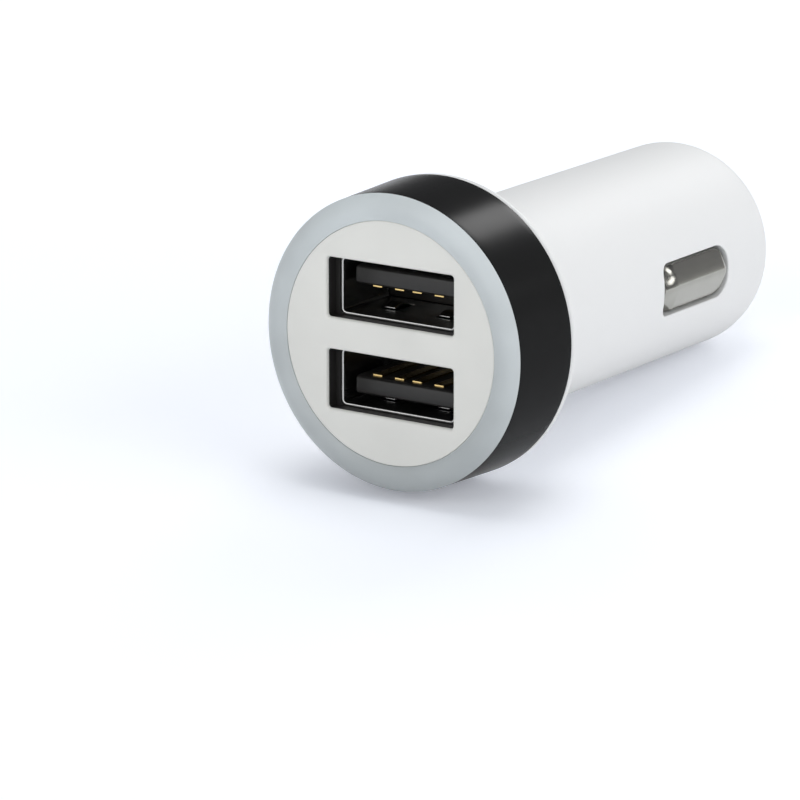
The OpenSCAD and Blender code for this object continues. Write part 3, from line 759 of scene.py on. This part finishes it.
class CHARGER_OT_body(bpy.types.Operator):
    """Build the white body with its rim, hollow neck, barrel, side windows and tip hole"""

    bl_idname = "charger.body"
    bl_label = "Body"

    def execute(self, context):
        surface = Surface()
        front, straight, rear, inner, back = body_profile()
        profile = front + straight + rear + inner + back
        rings = surface.turned(profile, closed=True)
        inner_end = len(profile) - len(back)
        closing = [(grow, 0.0) for grow in WINDOW_CLOSING]
        outer_rows = range(len(front) - 1, len(front) + len(straight))
        inner_rows = range(inner_end - len(inner), inner_end)
        skins = (
            (outer_rows, BARREL_R, closing + quarter_round(sizes().window_edge / MM)),
            (inner_rows, BARREL_R - BODY_WALL, closing + [(0.0, 0.0)]),
        )
        lost = set()
        for side in SIDES.values():
            middle = 0 if side > 0 else BODY_ROUND // 2
            columns = (middle - WINDOW_COLUMNS, middle + WINDOW_COLUMNS)
            rims = []
            for rows, radius, loops in skins:
                near = [
                    i for i in rows
                    if abs(profile[i][1] - WINDOW_Y) < WINDOW_LEN / 2 + WINDOW_MARGIN
                ]
                lost.update(wall_face(rings, i, j) for i in near[:-1] for j in range(*columns))
                near.sort(key=lambda i: profile[i][1])
                rims.append(window_patch(
                    surface, radius, [rings[i] for i in near], columns, side, loops))
            surface.bridge(*rims)
        surface.faces = [f for f in surface.faces if frozenset(f) not in lost]
        make_piece(
            "white_body", surface.mesh("white_body"), body_finish(), "housing",
            ["body_shell"])
        return {"FINISHED"}


# Head


class CHARGER_OT_trim(bpy.types.Operator):
    """Build the black band and the grey light ring"""

    bl_idname = "charger.trim"
    bl_label = "Band and light ring"

    def execute(self, context):
        edge = sizes().band_edge / MM
        inner = BAND_FRONT_R - BAND_WALL
        band = [(inner, BAND_FRONT), (inner + FIT, BAND_FRONT)]
        band += arc((BAND_FRONT_R - edge, BAND_FRONT + edge), edge, -90, 0, 8)
        band += line((BAND_FRONT_R, BAND_FRONT + edge), (BAND_BACK_R, BAND_BACK - edge), 10)[1:]
        band += arc((BAND_BACK_R - edge, BAND_BACK - edge), edge, 0, 90, 8)
        band += [(inner + FIT, BAND_BACK), (inner, BAND_BACK)]
        surface = Surface()
        surface.turned(band, closed=True, count=HEAD_ROUND)
        make_piece(
            "black_band", surface.mesh("black_band"), band_finish(), "housing",
            ["trim_band"])

        crown = BAND_FRONT - RING_LOW.y
        lip = BAND_FRONT_R - RING_IN_R
        reach = RING_CROWN * lip
        crown_r = (reach ** 2 + crown ** 2) / (2 * crown)
        centre = (BAND_FRONT_R - reach, RING_LOW.y + crown_r)
        start = math.degrees(math.asin((lip - reach) / crown_r))
        end = math.degrees(math.asin(reach / crown_r))
        guide_r, guide_y = CUP_IN_R - FIT, BAND_FRONT + RING_STEP
        ring = arc(centre, crown_r, -90 - start, -90 + end, 28)
        ring += [(inner, BAND_FRONT), (inner - FIT, guide_y), (guide_r, guide_y)]
        ring += [(guide_r, RING_HIGH.y), (RING_IN_R, RING_HIGH.y)]
        surface = Surface()
        surface.turned(ring, closed=True, count=HEAD_ROUND)
        make_piece(
            "light_diffuser", surface.mesh("light_diffuser"), ring_finish(), "housing",
            ["light_ring"])
        return {"FINISHED"}


class CHARGER_OT_face(bpy.types.Operator):
    """Build the face plate with its two softly edged openings"""

    bl_idname = "charger.face"
    bl_label = "Face plate"

    def execute(self, context):
        edge = sizes().plate_edge / MM
        back = PLATE_FRONT + PLATE_T
        skirt = PLATE_R - PLATE_SKIRT
        lip = PLATE_FRONT + PORT_LIP
        surface = Surface()
        outside = arc((PLATE_R - edge, PLATE_FRONT + edge), edge, -90, 0, 8)
        outside += [(PLATE_R, PLATE_HIGH.y), (skirt, PLATE_HIGH.y), (skirt, back)]
        rings = surface.turned(outside, count=HEAD_ROUND)
        fronts, backs = [rings[0]], [rings[-1]]
        sections = [(grow, PLATE_FRONT + y) for grow, y in quarter_round(sizes().port_edge / MM)]
        sections += [(0, lip), (LINER_WALL, lip), (LINER_WALL, back)]
        for z in PORT_Z.values():
            loops = []
            for grow, y in sections:
                outline = rounded_rectangle(
                    PORT_W + 2 * grow, PORT_H + 2 * grow, PORT_CORNER + PORT_CORNER_GROWTH * grow)
                loops.append(surface.add([(x, y, z + v) for x, v in outline]))
            surface.chain(loops)
            fronts.append(loops[0])
            backs.append(loops[-1])
        surface.fill(fronts)
        surface.fill(backs, flip=True)
        make_piece(
            "cream_face", surface.mesh("cream_face"), plate_finish(), "housing",
            ["face_plate"])
        return {"FINISHED"}


# Ports


def shell_outline(half_w, top):
    """Outline (x, v) of a sleeve, with points at the edges of its springs."""
    arm, corner = PORT_SPRING_W / 2, SHELL_CORNER
    xs = [
        centre + away
        for centre in (-PORT_SPRING_X, PORT_SPRING_X)
        for away in (-arm - PORT_SLIT, -arm, -0.4 * arm, 0.4 * arm, arm, arm + PORT_SLIT)
    ]
    xs.insert(len(xs) // 2, 0.0)
    right, left, upper, lower = half_w - corner, corner - half_w, top - corner, corner - top
    outline = [(x, -top) for x in xs] + arc((right, lower), corner, -90, 0, 6)
    outline += [(half_w, 0.0)] + arc((right, upper), corner, 0, 90, 6)
    outline += [(x, top) for x in reversed(xs)] + arc((left, upper), corner, 90, 180, 6)
    return outline + [(-half_w, 0.0)] + arc((left, lower), corner, 180, 270, 6)


def port_shell(name, side, z):
    """A folded sleeve whose four springs are cut free and bent into the opening."""
    rise = sizes().spring_rise / MM
    half_w, top = (SHELL_W - SHELL_WALL) / 2, (SHELL_H - SHELL_WALL) / 2
    arm = PORT_SPRING_W / 2
    root, free = SHELL_FRONT + PORT_SPRING_ROOT, SHELL_FRONT + PORT_SPRING_FREE
    stations = [*(SHELL_FRONT + y for y in SHEET_STATIONS), SHELL_BACK]
    outline = shell_outline(half_w, top)

    def on_flat(v):
        return abs(abs(v) - top) < TINY

    surface = Surface()
    rings = []
    for y in stations:
        bend = 0.0
        if free - 0.1 < y < root:
            share = min((root - y) / (root - free), 1)
            bend = rise * math.sin(math.pi * share * SPRING_SWEEP) ** SPRING_EASE
        rings.append(surface.add([
            (x, y, z + side * (
                math.copysign(abs(v) - bend, v)
                if on_flat(v) and abs(abs(x) - PORT_SPRING_X) < arm + TINY else v))
            for x, v in outline
        ]))
    for row, (one, other) in enumerate(zip(rings, rings[1:])):
        near, far = stations[row], stations[row + 1]
        for i, (x, v) in enumerate(outline):
            after = (i + 1) % len(outline)
            away = abs(abs(x + outline[after][0]) / 2 - PORT_SPRING_X)
            slit = arm < away < arm + PORT_SLIT and far < root + 0.1
            before = away < arm + PORT_SLIT and far < free + TINY
            cut = near > free - PORT_FREE_GAP and (slit or before)
            if not (cut and on_flat(v) and on_flat(outline[after][1])):
                surface.faces.append((one[i], one[after], other[after], other[i]))
    piece = make_piece(
        "port_shell_" + name, surface.mesh("port_shell_" + name), INNER_FINISHES["shell_metal"](),
        "housing", ["usb_shell_" + name], 40.0)
    thick = piece.modifiers.new("sheet", "SOLIDIFY")
    thick.thickness = SHELL_WALL * MM
    thick.offset = 0.0
    round_edge = piece.modifiers.new("edges", "BEVEL")
    round_edge.width = SHELL_EDGE * MM
    round_edge.segments = 2
    round_edge.limit_method = "ANGLE"
    round_edge.angle_limit = math.radians(40)


def port_tongue(name, side, z):
    """The insulator: a base across the sleeve and a tongue with a chamfered nose."""
    base = SHELL_BACK - TONGUE_BASE
    nose, chamfer = TONGUE_FRONT + TONGUE_NOSE, 0.6 * TONGUE_NOSE
    outline = [
        (TONGUE_FRONT, chamfer), (nose, 0), (base, 0),
        (base, TONGUE_T), (nose, TONGUE_T), (TONGUE_FRONT, TONGUE_T - chamfer),
    ]
    surface = Surface()
    surface.prism(*(
        [(x, y, z + side * v) for y, v in outline] for x in (-TONGUE_W / 2, TONGUE_W / 2)))
    sleeve = rounded_rectangle(
        SHELL_W - 2 * SHELL_WALL - 2 * FIT, SHELL_H - 2 * SHELL_WALL - 2 * FIT, PORT_CORNER)
    surface.prism(*([(x, y, z + v) for x, v in sleeve] for y in (base, SHELL_BACK - FIT)))
    make_piece(
        "port_tongue_" + name, bevelled(surface.mesh("port_tongue_" + name), TONGUE_EDGE),
        lining_finish(), "housing", ["usb_tongue_" + name])


def port_pins(name, side, z):
    """Four gold strips with raised, rounded noses under the tongue."""
    path = [(TONGUE_FRONT + y, v) for y, v in PIN_NOSE]
    path.append((SHELL_BACK - TONGUE_BASE, -PIN_T))
    surface = Surface()
    for x in PIN_XS:
        left, right = x - PIN_W / 2, x + PIN_W / 2
        surface.prism(*(
            [(left, y, z + side * v), (right, y, z + side * v), (right, y, z), (left, y, z)]
            for y, v in path))
    make_piece(
        "port_pins_" + name, bevelled(surface.mesh("port_pins_" + name), PIN_EDGE),
        INNER_FINISHES["gold_contact"](), "housing", [])


class CHARGER_OT_ports(bpy.types.Operator):
    """Build both ports: sleeves with springs, tongues and gold strips"""

    bl_idname = "charger.ports"
    bl_label = "Ports"

    def execute(self, context):
        for name, side in PORTS.items():
            z = PORT_Z[name]
            port_shell(name, side, z)
            port_tongue(name, side, z)
            port_pins(name, side, z)
        return {"FINISHED"}


# Contacts


def contact_drop(z, y):
    """How far a side contact's crown lies below its ridge at a place."""
    ridge = sizes().ridge_radius / MM
    edge = sizes().contact_edge / MM
    half = WINDOW_LEN / 2 - WINDOW_GAP
    length, fall = (NOSE_LEN, NOSE_DROP) if y < 0 else (HEEL_LEN, HEEL_DROP)
    radius = (length ** 2 + fall ** 2) / (2 * fall)
    past = min(max(abs(y) - (half - length), 0.0), length)
    domed = 1 - (1 - past / length) ** NOSE_ONSET if y < 0 else 0.0
    drop = CONTACT_SLOPE * (math.sqrt(z * z + ridge * ridge) - ridge)
    drop += radius - math.sqrt(radius ** 2 - past ** 2) + NOSE_DOME * z * z * domed
    inside = -window_distance(z, y, -WINDOW_GAP)
    if inside < edge:
        drop += edge - math.sqrt(max(edge ** 2 - (edge - max(inside, 0.0)) ** 2, 0.0))
    return drop


def contact_crown(side, foot):
    """The ridged crown with its rounded ends, in loops that shrink towards its spine."""
    half_l = WINDOW_LEN / 2 - WINDOW_GAP
    half_w = WINDOW_H / 2 - WINDOW_GAP
    outline = []
    for i in range(CROWN_ROUND):
        angle = 2 * math.pi * (i + 0.5) / CROWN_ROUND
        ray = (math.sin(angle) * half_w, math.cos(angle) * half_l)
        length = math.hypot(*ray)
        outline.append(along_ray(
            (ray[0] / length, ray[1] / length), lambda a, b: window_distance(a, b, -WINDOW_GAP)))
    spine = half_l - half_w
    surface = Surface()
    loops = []
    for k in range(CROWN_LOOPS + 1):
        share = math.sin(math.pi / 2 * k / CROWN_LOOPS)
        points = []
        for z, y in outline:
            middle = max(-spine, min(spine, y))
            at_z, at_y = z * share, middle + (y - middle) * share
            x = CONTACT_HIGH.x - contact_drop(at_z, at_y)
            points.append((side * x, WINDOW_Y + at_y, at_z))
        loops.append(surface.add(points))
    loops.append(surface.add([(side * foot, WINDOW_Y + y, z) for z, y in outline]))
    surface.chain(loops)
    surface.faces.append(tuple(loops[-1]))
    return surface


def contact_flange(side, foot):
    """The flange that holds a contact behind its window, with the pip for its spring."""
    length, width = (CONTACT_HIGH - CONTACT_LOW).yz
    corners = rounded_rectangle(length, width, FLANGE_CORNER)
    turn = [2 * math.pi * i / PIP_ROUND for i in range(PIP_ROUND)]
    surface = Surface()
    surface.prism(*(
        [(side * x, WINDOW_Y + y, z) for y, z in corners] for x in (foot - FLANGE_T, foot)))
    surface.prism(*(
        [(side * x, WINDOW_Y + PIP_R * math.cos(a), PIP_R * math.sin(a)) for a in turn]
        for x in (CONTACT_LOW.x, foot - FLANGE_T)))
    return surface


def side_contact(name, side):
    """A plated contact: its crown in the window and its flange behind it."""
    foot = CONTACT_LOW.x + 2 * FLANGE_T
    crown = contact_crown(side, foot).mesh("side_contact_crown_" + name, COARSE_MERGE)
    flange = contact_flange(side, foot).mesh("side_contact_flange_" + name)
    make_piece(
        "side_contact_crown_" + name, crown, plating_finish(), name + "_contact",
        ["side_contact_" + name], 60.0)
    make_piece(
        "side_contact_flange_" + name, bevelled(flange, FLANGE_EDGE), plating_finish(),
        name + "_contact", [])


class CHARGER_OT_contacts(bpy.types.Operator):
    """Build the plated side contacts and the sprung tip"""

    bl_idname = "charger.contacts"
    bl_label = "Contacts"

    def execute(self, context):
        for name, side in SIDES.items():
            side_contact(name, side)
        end, edge, fillet, dome = TIP_HIGH.y, TIP_EDGE, TIP_FILLET, TIP_DOME
        shoulder = BARREL_END + (end - BARREL_END) * TIP_SHOULDER
        waist = shoulder + TIP_R - TIP_NOSE_R + 0.6 * fillet
        flange_end = TIP_FLANGE_Y + TIP_FLANGE_T
        spigot_r = TIP_COIL_R - TIP_WIRE_R - SPIGOT_GAP
        profile = [(0, TIP_LOW.y), (spigot_r, TIP_LOW.y), (spigot_r, TIP_FLANGE_Y)]
        profile += [(TIP_FLANGE_R, TIP_FLANGE_Y), (TIP_FLANGE_R, flange_end), (TIP_R, flange_end)]
        profile += arc((TIP_R - edge, shoulder - edge), edge, 0, 45, 4)
        profile += arc((TIP_NOSE_R + fillet, waist), fillet, 225, 180, 4)
        profile += arc((TIP_NOSE_R - dome, end - dome), dome, 0, 90, 16)
        profile += [(0, end)]
        surface = Surface()
        surface.turned(profile, count=TIP_ROUND)
        make_piece(
            "tip_plunger", surface.mesh("tip_plunger", COARSE_MERGE), plating_finish(), "tip",
            ["tip_contact"])
        return {"FINISHED"}


# Springs


def coil_path(radius, wire, start, end):
    """Points (across, along, up) of a coil whose end turns lie closed."""
    pitch = CLOSED_PITCH * wire
    low, high = start + wire + pitch * CLOSED_TURNS, end - wire - pitch * CLOSED_TURNS
    points = []
    for i in range(COIL_TURNS * COIL_STEPS + 1):
        turn = i / COIL_STEPS
        left = COIL_TURNS - turn
        if turn < CLOSED_TURNS:
            along = start + wire + pitch * turn
        elif left < CLOSED_TURNS:
            along = end - wire - pitch * left
        else:
            share = (turn - CLOSED_TURNS) / (COIL_TURNS - 2 * CLOSED_TURNS)
            along = low + (high - low) * share
        angle = 2 * math.pi * turn
        points.append(Vector((radius * math.cos(angle), along, radius * math.sin(angle))))
    return points


def coil_spring(node_name, radius, wire, place, fixed, free):
    """A round wire coil between its fixed and its free end."""
    path = coil_path(radius, wire, fixed + WIRE_GAP, free - WIRE_GAP)
    near_axis = Vector((0, 1, 0.001))
    rounds = [2 * math.pi * k / WIRE_SIDES for k in range(WIRE_SIDES)]
    surface = Surface()
    loops = []
    for i, point in enumerate(path):
        ahead = (path[min(i + 1, len(path) - 1)] - path[max(i - 1, 0)]).normalized()
        across = ahead.cross(near_axis).normalized()
        up = ahead.cross(across)
        loops.append([
            place(point + wire * (math.cos(a) * across + math.sin(a) * up)) for a in rounds])
    surface.prism(*loops)
    piece = make_piece(
        node_name.replace("spring", "coil"), surface.mesh(node_name),
        INNER_FINISHES["spring_steel"](), "housing", [node_name], 50.0)
    origin = Vector(place(Vector((0, 0, 0))))
    anchor = Vector(place(Vector((0, fixed, 0))))
    axis = Vector(place(Vector((0, 1, 0)))) - origin
    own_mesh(piece)


class CHARGER_OT_springs(bpy.types.Operator):
    """Build the wire coils behind the side contacts and the tip"""

    bl_idname = "charger.springs"
    bl_label = "Springs"

    def execute(self, context):
        joints = {j["child"]: j for j in frame["record"]["behaviour"]["joints"]}
        for name, side in SIDES.items():
            joint = joints[name + "_contact"]
            fixed = abs(joint["deforming_nodes"][0]["fixed_end_x_m"]) / MM
            coil_spring(
                "side_spring_" + name, SIDE_COIL_R, SIDE_WIRE_R,
                lambda p, side=side: (side * p.y, WINDOW_Y - p.x, p.z),
                fixed, CONTACT_LOW.x + FLANGE_T)
        joint = joints["tip"]
        fixed = joint["deforming_nodes"][0]["fixed_end_y_m"] / MM
        coil_spring("tip_spring", TIP_COIL_R, TIP_WIRE_R, tuple, fixed, TIP_FLANGE_Y)
        return {"FINISHED"}


class CHARGER_OT_inner(bpy.types.Operator):
    """Give every solid that stays in view or inside its own finish"""

    bl_idname = "charger.inner"
    bl_label = "Inner parts"

    def execute(self, context):
        slots = {s["node"]: s["material_slot"] for s in frame["record"]["subparts"]}
        for name, solid in frame["nodes"].items():
            finish = INNER_FINISHES.get(slots[name])
            if finish is not None:
                solid.data.materials.clear()
                solid.data.materials.append(finish())
        return {"FINISHED"}


# Studio


def view_axes():
    """The photograph's viewing direction, right and up."""
    az, el = VIEW_AZIMUTH, VIEW_ELEVATION
    forward = Vector((-math.sin(az) * math.cos(el), math.cos(az) * math.cos(el), -math.sin(el)))
    right = Vector((math.cos(az), math.sin(az), 0))
    return forward, right, right.cross(forward)


def seen_rays(tree):
    """A node that gives 1 to camera, glossy and transmission rays, and the node of all rays."""
    rays = node(tree, "LightPath")
    some = node(tree, "Math", operation="ADD", use_clamp=True)
    seen = node(tree, "Math", operation="ADD", use_clamp=True)
    link(rays, "Is Camera Ray", some, 0)
    link(rays, "Is Glossy Ray", some, 1)
    link(some, 0, seen, 0)
    link(rays, "Is Transmission Ray", seen, 1)
    return seen, rays


def floor_material():
    """Floor that keeps the shadow; to the camera and reflections it glows, white far away. Its glow
    to the camera is tinted blue, painted bluish light in the shadows.
    """
    material = bpy.data.materials.new("white_floor")
    material.use_nodes = True
    tree = material.node_tree
    tree.nodes.clear()
    diffuse = node(tree, "BsdfDiffuse", {"Color": (*FLOOR_COLOUR, 1)})
    glow = node(tree, "Emission")
    # Painted shadow tint: the camera sees the glow tinted blue, which shows in the shadows
    painted_shadow_tint = node(tree, "Mix", {6: (1, 1, 1, 1), 7: (*FLOOR_PAINTED_SHADOW_TINT, 1)}, data_type="RGBA")
    place = node(tree, "TexCoord")
    away = node(tree, "VectorMath", operation="LENGTH")
    far = node(tree, "MapRange", FLOOR_GLOW, interpolation_type="SMOOTHSTEP")
    strength = node(tree, "Math", operation="MULTIPLY")
    both = node(tree, "AddShader")
    out = node(tree, "OutputMaterial")
    seen, rays = seen_rays(tree)
    link(rays, "Is Camera Ray", painted_shadow_tint, "Factor")
    link(painted_shadow_tint, 2, glow, "Color")
    link(place, "Object", away, 0)
    link(away, "Value", far, "Value")
    link(seen, 0, strength, 0)
    link(far, "Result", strength, 1)
    link(strength, 0, glow, "Strength")
    link(diffuse, 0, both, 0)
    link(glow, 0, both, 1)
    link(both, 0, out, "Surface")
    return material


def studio_world():
    """Plain white room; metal and gloss see it white at the horizon and greyer overhead."""
    world = bpy.data.worlds.new("studio")
    bpy.context.scene.world = world
    world.use_nodes = True
    tree = world.node_tree
    tree.nodes.clear()
    place = node(tree, "TexCoord")
    split = node(tree, "SeparateXYZ")
    ramp = node(tree, "ValToRGB")
    stops = ramp.color_ramp.elements
    stops.new(ROOM_GREYS[1][0])
    for stop, (height, grey) in zip(stops, ROOM_GREYS):
        stop.position, stop.color = height, (*grey, 1)
    lit = node(tree, "Background", {"Color": (*ROOM_LIGHT, 1), "Strength": ROOM_STRENGTH})
    room = node(tree, "Background")
    behind = node(tree, "Mix", {7: (1, 1, 1, 1)}, data_type="RGBA")
    choose = node(tree, "MixShader")
    out = node(tree, "OutputWorld")
    seen, rays = seen_rays(tree)
    link(place, "Generated", split, 0)
    link(split, "Z", ramp, "Fac")
    link(ramp, "Color", behind, 6)
    link(rays, "Is Camera Ray", behind, "Factor")
    link(behind, 2, room, "Color")
    link(seen, 0, choose, "Fac")
    link(lit, 0, choose, 1)
    link(room, 0, choose, 2)
    link(choose, 0, out, "Surface")


def softbox(name, direction, distance, size, power, mirrored, lights):
    """A soft lamp that faces the middle of the plug and that the camera doesn't see."""
    lamp = bpy.data.lights.new(name, "AREA")
    lamp.shape = "RECTANGLE"
    lamp.size, lamp.size_y = size
    lamp.energy = power
    holder = bpy.data.objects.new(name, lamp)
    bpy.context.scene.collection.objects.link(holder)
    away = Vector(direction).normalized()
    holder.location = Vector((0, LAMP_AIM, 0)) * MM + away * distance
    holder.rotation_mode = "QUATERNION"
    holder.rotation_quaternion = away.to_track_quat("Z", "Y")
    holder.visible_camera = False
    holder.visible_glossy = mirrored
    holder.visible_diffuse = lights


class CHARGER_OT_stage(bpy.types.Operator):
    """Place the camera, the floor under the head and the barrel's end, and the lamps"""

    bl_idname = "charger.stage"
    bl_label = "Studio"

    def execute(self, context):
        scene = context.scene
        forward, right, up = view_axes()
        camera = bpy.data.cameras.new("camera")
        camera.lens = LENS
        camera.sensor_width = SENSOR
        camera.clip_start, camera.clip_end = 0.01, 20
        holder = bpy.data.objects.new("camera", camera)
        scene.collection.objects.link(holder)
        aim = Vector((0, BAND_FRONT, 0)) + right * AIM_RIGHT - up * AIM_DOWN
        holder.location = (aim - forward * VIEW_DISTANCE) * MM
        holder.rotation_mode = "QUATERNION"
        holder.rotation_quaternion = (-forward).to_track_quat("Z", "Y")
        scene.camera = holder

        rise = (BAND_BACK_R - BARREL_R) / (BARREL_STRAIGHT - BAND_BACK)
        level = -BAND_BACK_R - FLOOR_GAP
        half = FLOOR_SIZE / 2
        surface = Surface()
        surface.faces.append(tuple(surface.add([
            (x, y, level + (y - BAND_BACK) * rise)
            for x, y in ((-half, -half), (half, -half), (half, half), (-half, half))
        ])))
        floor = bpy.data.objects.new("floor", surface.mesh("floor"))
        floor.data.materials.append(floor_material())
        scene.collection.objects.link(floor)

        studio_world()
        for lamp in LAMPS:
            softbox(*lamp)
        scene.view_settings.view_transform = "Standard"
        return {"FINISHED"}


class CHARGER_PT_panel(bpy.types.Panel):
    """Sizes, colours and steps of the charger plug"""

    bl_idname = "CHARGER_PT_panel"
    bl_label = "Charger plug"
    bl_space_type = "VIEW_3D"
    bl_region_type = "UI"
    bl_category = "Charger"

    def draw(self, context):
        layout = self.layout
        for group in (context.scene.charger_sizes, context.scene.charger_colours):
            box = layout.box()
            for name in group.__annotations__:
                box.prop(group, name)
        for step in STEPS:
            layout.operator(step.bl_idname)


STEPS = (
    CHARGER_OT_stage,
    CHARGER_OT_body,
    CHARGER_OT_trim,
    CHARGER_OT_face,
    CHARGER_OT_ports,
    CHARGER_OT_contacts,
    CHARGER_OT_springs,
    CHARGER_OT_inner,
)
CLASSES = (ChargerSizes, ChargerColours, *STEPS, CHARGER_PT_panel)


def register():
    for cls in CLASSES:
        bpy.utils.register_class(cls)
    bpy.types.Scene.charger_sizes = PointerProperty(type=ChargerSizes)
    bpy.types.Scene.charger_colours = PointerProperty(type=ChargerColours)


def unregister():
    del bpy.types.Scene.charger_colours
    del bpy.types.Scene.charger_sizes
    for cls in reversed(CLASSES):
        bpy.utils.unregister_class(cls)


def main():
    """Registers the add-on and runs its steps in order."""
    register()
    for step in STEPS:
        operator = getattr(bpy.ops.charger, step.bl_idname.split(".")[1])
        operator()


if __name__ == "__main__":
    main()
